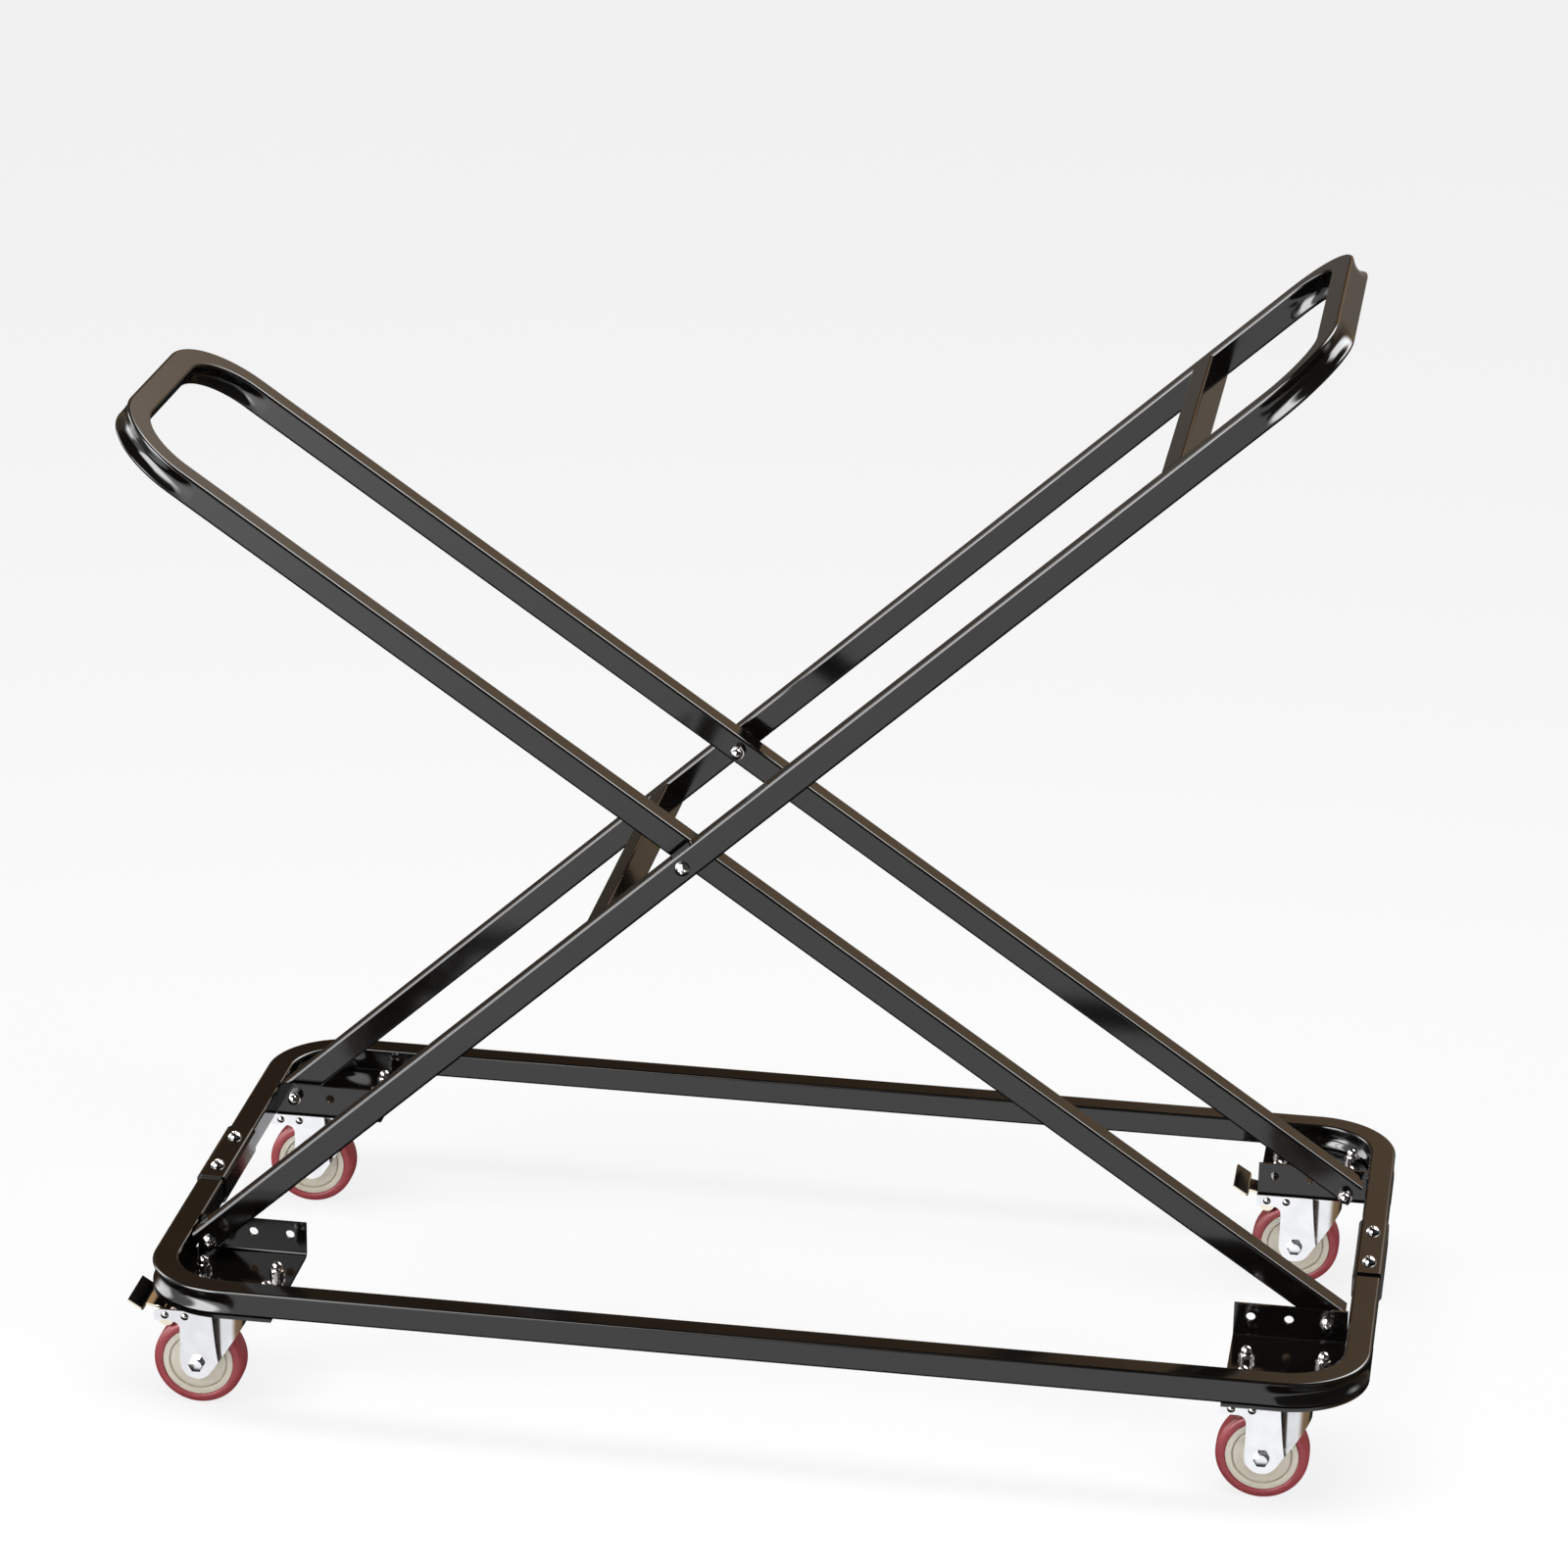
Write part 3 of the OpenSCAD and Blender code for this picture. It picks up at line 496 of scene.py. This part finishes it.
TURN_STEPS = 72
BOLT_R, HEX_AF, PAN_R, PAN_H = 4.0, 13.0, 7.0, 5.5
NUT_H, NUT_COLLAR, DOME_R = 6.4, 2.4, 5.59
ARM_GAP, SPACER_T, BRACKET_T = 11.5, 4.0, 3.5
FLANGE_OUT_Y = 161.0
SLEEVE_TOP, PLATE_TOP = 153.15, 126.0
RAIL_X, SLEEVE_SCREW_Y = 567.5, 34.0
BOLT_X, BOLT_Y, SWIVEL_SHIFT = 36.0, 21.0, 10.0
FORK_OUT_Y = 17.5
EAR_BACKS = (36.0, PIN_BACK)
SCREW_R, SCREW_LEN = 3.0, 11.0
# How far a bolt reaches into its domed nut, and a nut's face into its bore
NUT_ENTRY, NUT_SHANK = 8.8, 0.5
AXLE_HEAD_H, AXLE_LEN = 5.3, 43.4
RECESS_HALF_W, RECESS_REACH, RECESS_DEPTH = 1.0, 3.4, 1.7
UP = np.eye(3)


def facing(side):
    """Turn that lays a form's own +Z along +Y or -Y."""
    return np.array([[1, 0, 0], [0, 0, side], [0, -side, 0.0]])


def arc(centre, radius, start, end, steps):
    """Points of a circle's arc between two angles in degrees."""
    turn = np.radians(np.linspace(start, end, steps))
    return np.asarray(centre) + radius * np.c_[np.cos(turn), np.sin(turn)]


def turned(rows, across_flats=0.0, sink=None):
    """Rows of radius and height, from the upper pole to the lower one, turned about Z. A hexagon of
    that width over its flats limits each radius r to flats / 2 / cos(angle off the flat's middle),
    and sink gives a depth to take off each height at x and y."""
    rows = np.asarray(rows, float)
    turn = np.linspace(0, 2 * np.pi, TURN_STEPS, endpoint=False)
    r = np.repeat(rows[:, :1], TURN_STEPS, 1)
    if across_flats:
        r = np.minimum(r, across_flats / 2 / np.cos(turn % (np.pi / 3) - np.pi / 6))
    x, y = r * np.cos(turn), r * np.sin(turn)
    z = np.repeat(rows[:, 1:], TURN_STEPS, 1)
    if sink:
        z = z - sink(x, y, z)
    faces = grid_faces(len(rows), TURN_STEPS, wrap_cols=True)
    return np.dstack([x, y, z]).reshape(-1, 3), faces


def fasteners(name, form, places, material, body, slot, *replaced):
    """Copies of one form, each turned and moved to its place, as one piece."""
    points, faces = form
    copies = [points @ turn.T + np.asarray(origin) for turn, origin in places]
    steps = np.arange(len(places))[:, None, None] * len(points)
    all_faces = (faces[None] + steps).reshape(-1, 4)
    return add_piece(name, np.vstack(copies), all_faces, material, body, slot, *replaced, crease=28)


def cross_recess(x, y, z):
    """Depth of a cross: two bars at right angles with sloping walls, only in the top of a head."""
    bars = [
        rise(RECESS_HALF_W - np.abs(p), 0.6) * rise(RECESS_REACH - np.abs(q), 1.2)
        for p, q in ((x, y), (y, x))
    ]
    return RECESS_DEPTH * np.maximum(*bars) * (z > 0.5)


def pan_screw(shank_r, shank_len):
    """Domed head: a spherical cap over a short rim, with a cross recess, on a plain shank."""
    rim = 1.3
    cap = PAN_H - rim
    ball = (cap**2 + PAN_R**2) / (2 * cap)
    limit = math.degrees(math.asin(PAN_R / ball))
    dome = arc((0, PAN_H - ball), ball, 90, 90 - limit, 40)
    shank = [(PAN_R, 0.35), (PAN_R - 0.35, 0), (shank_r, 0), (shank_r, -shank_len), (0, -shank_len)]
    return turned(np.vstack([dome, shank]), sink=cross_recess)


def acorn_nut():
    """Domed nut: a chamfered hexagon, a round collar and a hemisphere."""
    dome = arc((0, NUT_H + NUT_COLLAR), DOME_R, 90, 0, 16)
    skirt = [
        (DOME_R, NUT_H + 0.5),
        (DOME_R + 0.3, NUT_H + 0.1),
        (6.7, NUT_H),
        (7.6, NUT_H - 0.8),
        (7.6, 0.6),
        (6.9, 0),
        (0, 0),
    ]
    return turned(np.vstack([dome, skirt]), HEX_AF)


def hex_head(height, shank_len):
    """Hexagon head with a chamfered, faintly raised face, on a plain shank."""
    rows = [
        (0, height),
        (5.6, height),
        (6.0, height - 0.12),
        (7.6, height - 0.95),
        (7.6, 0),
        (BOLT_R, 0),
        (BOLT_R, -shank_len),
        (0, -shank_len),
    ]
    return turned(rows, HEX_AF)


def rivet_head():
    """Rivet's domed head on its shank."""
    shank = [(3.0, -0.02), (3.0, -18), (0, -18)]
    return turned(np.vstack([arc((0, -2.6), 4.7, 90, 33, 14), shank]))


def on_arm(place, along):
    """A point on an arm's centre line, that far from its foot bolt."""
    turn, origin = place
    return origin + turn @ np.array([along, 0, 0])


crossing = on_arm(arm_place(-1, OUTER_ANGLE), math.sqrt(OUTER_REACH**2 - FOOT_DROP**2))
ENDS = (-1, 1)
sleeve_places = [
    (UP, (BASE_X + side * RAIL_X, y * SLEEVE_SCREW_Y, SLEEVE_TOP)) for side in ENDS for y in ENDS
]
pivot_heads = [(facing(end), crossing + (0, end * OUTER_HALF_W, 0)) for end in ENDS]
pivot_caps = [(facing(-end), crossing + (0, end * (INNER_HALF_W - TUBE), 0)) for end in ENDS]
# Each foot: side of the base, face under the head and face under the nut
FEET = (
    (-1, OUTER_HALF_W, FLANGE_OUT_Y - BRACKET_T),
    (1, FLANGE_OUT_Y, INNER_HALF_W - TUBE),
)
foot_heads = [
    (facing(end), (BASE_X + side * FOOT_X, end * head, FOOT_Z))
    for side, head, _ in FEET
    for end in ENDS
]
foot_caps = [
    (facing(-end), (BASE_X + side * FOOT_X, end * cap, FOOT_Z))
    for side, _, cap in FEET
    for end in ENDS
]
caster_caps = [
    (
        UP,
        (
            BASE_X + side * (CASTER_X - SWIVEL_SHIFT) + x * BOLT_X,
            end * CASTER_Y + y * BOLT_Y,
            PLATE_TOP,
        ),
    )
    for side, end in CORNERS.values()
    for x in ENDS
    for y in ENDS
]
GRIP = 2 * TUBE + ARM_GAP
FOOT_GRIP = TUBE + SPACER_T + BRACKET_T
for name, form, places, material in (
    ("splice_screws", pan_screw(SCREW_R, SCREW_LEN), sleeve_places, CHROME),
    ("foot_bolts", pan_screw(BOLT_R, FOOT_GRIP + NUT_ENTRY), foot_heads, CHROME),
    ("pivot_nuts", acorn_nut(), pivot_caps, CHROME),
    ("foot_nuts", acorn_nut(), foot_caps, CHROME),
    ("caster_nuts", acorn_nut(), caster_caps, CHROME),
    ("pivot_bolts", pan_screw(BOLT_R, GRIP + NUT_ENTRY), pivot_heads, ZINC),
):
    fasteners(name + "_plated", form, places, material, "frame", "bright_zinc", name)
for corner, (side, end) in CORNERS.items():
    body = "caster_" + corner
    swivel = np.array([BASE_X + side * CASTER_X, end * CASTER_Y, 0])
    axle = swivel + (-TRAIL, 0, WHEEL_R)
    fasteners(
        "axle_head_" + corner,
        hex_head(AXLE_HEAD_H, AXLE_LEN),
        [(facing(-1), axle - (0, FORK_OUT_Y, 0))],
        ZINC,
        body,
        "bright_zinc",
        "axle_bolt_" + corner,
    )
    fasteners(
        "axle_nut_plated_" + corner,
        hex_head(NUT_H, NUT_SHANK),
        [(facing(1), axle + (0, FORK_OUT_Y, 0))],
        ZINC,
        body,
        "bright_zinc",
        "axle_nut_" + corner,
    )
    fasteners(
        "ear_rivets_" + corner,
        rivet_head(),
        [
            (facing(face), swivel + (-back, face * FORK_OUT_Y, PIN_Z))
            for back in EAR_BACKS
            for face in ENDS
        ],
        CHROME,
        body,
        "bright_zinc",
        "ear_pins_" + corner,
    )


# Finishes of the part's own solids, by how their names start

COATED = ("splice_sleeve", "bracket", "lower_rung", "upper_rung", "base_", "outer_arm", "inner_arm")
BOLTED = ("splice_screws", "pivot_bolts", "pivot_nuts", "foot_bolts", "foot_nuts", "caster_nuts")
CASTER_STEEL = ("caster_bolts", "axle_", "ear_pins", "kingpins", "swivel_balls")
NODE_FINISH = [
    (COATED, COAT),
    (BOLTED + CASTER_STEEL, CHROME),
    (("caster_plate", "fork"), ZINC),
    *(
        (
            ("brake_pedal_" + corner,),
            pedal_finish("brake_pedal_" + corner, BASE_X + side * CASTER_X - PIN_BACK, PIN_Z),
        )
        for corner, (side, end) in CORNERS.items()
        if side == end  # the two braked corners
    ),
    (("pivot_spacers", "foot_spacers"), NYLON),
    (("hub",), HUB),
    (("tyre",), TREAD),
]
for name, node in nodes.items():
    for starts, material in NODE_FINISH:
        if name.startswith(starts):
            node.data.materials.clear()
            node.data.materials.append(material)


# Studio

PALE, WHITE = rgb(0.86, 0.86, 0.86), rgb(1, 1, 1)
SEEN_WHITE = 0.82
WORLD_LIGHT = 0.3
FLOOR_HALF = 30.0


def stage_material(name):
    """A pale surface, most of it seen as white and the rest as shaded by the lamps."""
    material = bpy.data.materials.new(name)
    material.use_nodes = True
    tree = material.node_tree
    tree.nodes.remove(tree.nodes["Principled BSDF"])
    start = Wire(tree)
    pale = start.make("ShaderNodeBsdfDiffuse", {}, {"Color": PALE})
    white = start.make("ShaderNodeEmission", {}, {"Color": WHITE, "Strength": 1.0})
    seen, mirrored = start.ray("Is Camera Ray"), start.ray("Is Glossy Ray")
    share = (seen + mirrored + start.ray("Is Transmission Ray")) * SEEN_WHITE
    both = start.make("ShaderNodeMixShader", {}, {0: share, 1: pale, 2: white})
    tree.links.new(both.socket, tree.nodes["Material Output"].inputs["Surface"])
    return material


floor_mesh = bpy.data.meshes.new("floor")
floor_mesh.from_pydata(
    [(x * FLOOR_HALF, y * FLOOR_HALF, 0) for x, y in ((-1, -1), (1, -1), (1, 1), (-1, 1))],
    [],
    [(0, 1, 2, 3)],
)
floor = bpy.data.objects.new("floor", floor_mesh)
floor_mesh.materials.append(stage_material("pale_floor"))
bpy.context.scene.collection.objects.link(floor)
floor.visible_glossy = False


def area_light(name, place, aim, size, power):
    """A rectangular lamp that faces its aim, out of the sight of the camera and of mirrors, which
    see the panels of the surround instead."""
    lamp = bpy.data.lights.new(name, "AREA")
    lamp.shape = "RECTANGLE"
    lamp.size, lamp.size_y = size
    lamp.energy = power
    light = bpy.data.objects.new(name, lamp)
    light.location = place
    light.rotation_euler = (Vector(aim) - light.location).to_track_quat("-Z", "Y").to_euler()
    light.visible_camera = light.visible_glossy = False
    bpy.context.scene.collection.objects.link(light)


area_light("overhead_panel", (0.2, -0.9, 3.4), (0.1, 0, 0.3), (3.4, 1.0), 95)
area_light("left_panel", (-3.1, -1.9, 1.5), (0, 0, 0.3), (2.2, 1.2), 50)
area_light("right_panel", (3.2, -1.9, 1.5), (0, 0, 0.3), (2.2, 1.2), 50)

# What mirrors see round the object, level and higher up. Turns are in degrees from the front,
# positive to the right.
LEVEL_ROUND = [
    (-180, (0.33, 0.3, 0.26)),
    (-170, (0.2, 0.17, 0.15)),
    (-164, (0.16, 0.14, 0.12)),
    (-157, (0.075, 0.058, 0.046)),
    (-148, (0.06, 0.045, 0.035)),
    (-118, (0.16, 0.1, 0.05)),
    (-100, (0.25, 0.18, 0.12)),
    (-92, (0.8, 0.8, 0.8)),
    (-80, (0.7, 0.7, 0.7)),
    (-70, (0.006, 0.004, 0.002)),
    (-45, (0.006, 0.004, 0.002)),
    (-34, (0.02, 0.009, 0.005)),
    (-26, (0.07, 0.045, 0.03)),
    (-20.5, (0.11, 0.075, 0.05)),
    (-18, (0.95, 0.95, 0.97)),
    (-12, (1.05, 1.05, 1.07)),
    (42, (1.05, 1.05, 1.05)),
    (54, (0.75, 0.72, 0.69)),
    (64, (0.42, 0.33, 0.25)),
    (74, (0.25, 0.165, 0.095)),
    (100, (0.21, 0.14, 0.075)),
    (125, (0.14, 0.09, 0.05)),
    (158, (0.25, 0.21, 0.17)),
    (180, (0.33, 0.3, 0.26)),
]
HIGH_ROUND = [
    (-180, (0.55, 0.38, 0.24)),
    (-174, (0.16, 0.1, 0.06)),
    (-167, (0.08, 0.05, 0.03)),
    (-162, (0.2, 0.13, 0.07)),
    (-150, (0.25, 0.17, 0.1)),
    (-130, (0.3, 0.27, 0.24)),
    (-90, (0.9, 0.9, 0.9)),
    (-62, (1.5, 1.5, 1.5)),
    (-20, (0.3, 0.3, 0.3)),
    (-5, (0.05, 0.05, 0.05)),
    (110, (0.05, 0.05, 0.05)),
    (140, (0.25, 0.2, 0.15)),
    (172, (0.55, 0.38, 0.24)),
    (180, (0.55, 0.38, 0.24)),
]
# Lit panels: the turns, and then the sines of the heights, at which the light starts, is full, is
# still full and has ended, and its power
PANELS = [
    ((-60, -45, -18, -8), (-0.42, -0.26, 0.1, 0.2), 2.2),
    ((-66, -54, -24, -8), (-0.14, 0.22, 0.77, 0.88), 12.0),
    ((-130, -116, -100, -90), (-0.36, 0.35, 0.45, 0.75), 7.0),
    ((104, 124, 164, 176), (0.3, 0.64, 0.86, 0.97), 9.0),
]
BELOW, OVERHEAD = rgb(0.01, 0.01, 0.01), rgb(0.03, 0.03, 0.03)
# Sines of the heights over which each field takes the place of the one before it. The dark below
# starts lower at the front, and the high field starts lower to the right.
BELOW_STARTS, HIGH_STARTS, OVERHEAD_STARTS = (-0.22, -0.34), (0.0, 0.14), (0.66, 0.78)
FRONT_DROP, RIGHT_DROP = 0.28, 0.36

world = bpy.data.worlds.new("studio")
world.use_nodes = True
bpy.context.scene.world = world
tree = world.node_tree
start = Wire(tree)
seen, mirrored = start.ray("Is Camera Ray"), start.ray("Is Glossy Ray")
strength = WORLD_LIGHT + (seen + mirrored + start.ray("Is Transmission Ray")) * (1 - WORLD_LIGHT)
x, y, z = start.make("ShaderNodeTexCoord", {}, {}, out="Generated").split()
turn = start.math("ARCTAN2", x, 0 - y) * (180 / math.pi)
level, high = (
    start.make(
        "ShaderNodeValToRGB",
        {"stops": [(a / 360 + 0.5, rgb(*colour)) for a, colour in stops]},
        {0: turn / 360 + 0.5},
    )
    for stops in (LEVEL_ROUND, HIGH_ROUND)
)
front = turn.step(-85, -65) * turn.step(140, 115)
right = turn.step(4, 16) * turn.step(125, 105)
mirror_view = (z + front * FRONT_DROP).step(*BELOW_STARTS).blend(level, BELOW)
mirror_view = (z + right * RIGHT_DROP).step(*HIGH_STARTS).blend(mirror_view, high)
mirror_view = z.step(*OVERHEAD_STARTS).blend(mirror_view, OVERHEAD)
for turns, heights, power in PANELS:
    inside = turn.step(turns[0], turns[1]) * turn.step(turns[3], turns[2])
    inside = inside * z.step(heights[0], heights[1]) * z.step(heights[3], heights[2])
    mirror_view = inside.blend(mirror_view, rgb(power, power, power))
view = mirrored.blend(WHITE, mirror_view)
tree.links.new(strength.socket, tree.nodes["Background"].inputs["Strength"])
tree.links.new(view.socket, tree.nodes["Background"].inputs["Color"])

# Camera, from the photograph's own perspective: metres and degrees
CAMERA_PLACE, CAMERA_TURN = (0.6955, -4.76225, 2.40985), (69.24704, -1.07463, 8.88701)
lens = bpy.data.cameras.new("camera")
lens.sensor_width, lens.lens = 36.0, 124.19
lens.clip_end = 200.0
camera = bpy.data.objects.new("camera", lens)
camera.location = Vector(CAMERA_PLACE) + Vector((BASE_X * MM, 0, 0))
camera.rotation_euler = Euler([math.radians(a) for a in CAMERA_TURN])
bpy.context.scene.collection.objects.link(camera)
bpy.context.scene.camera = camera
bpy.context.scene.view_settings.view_transform = "Standard"
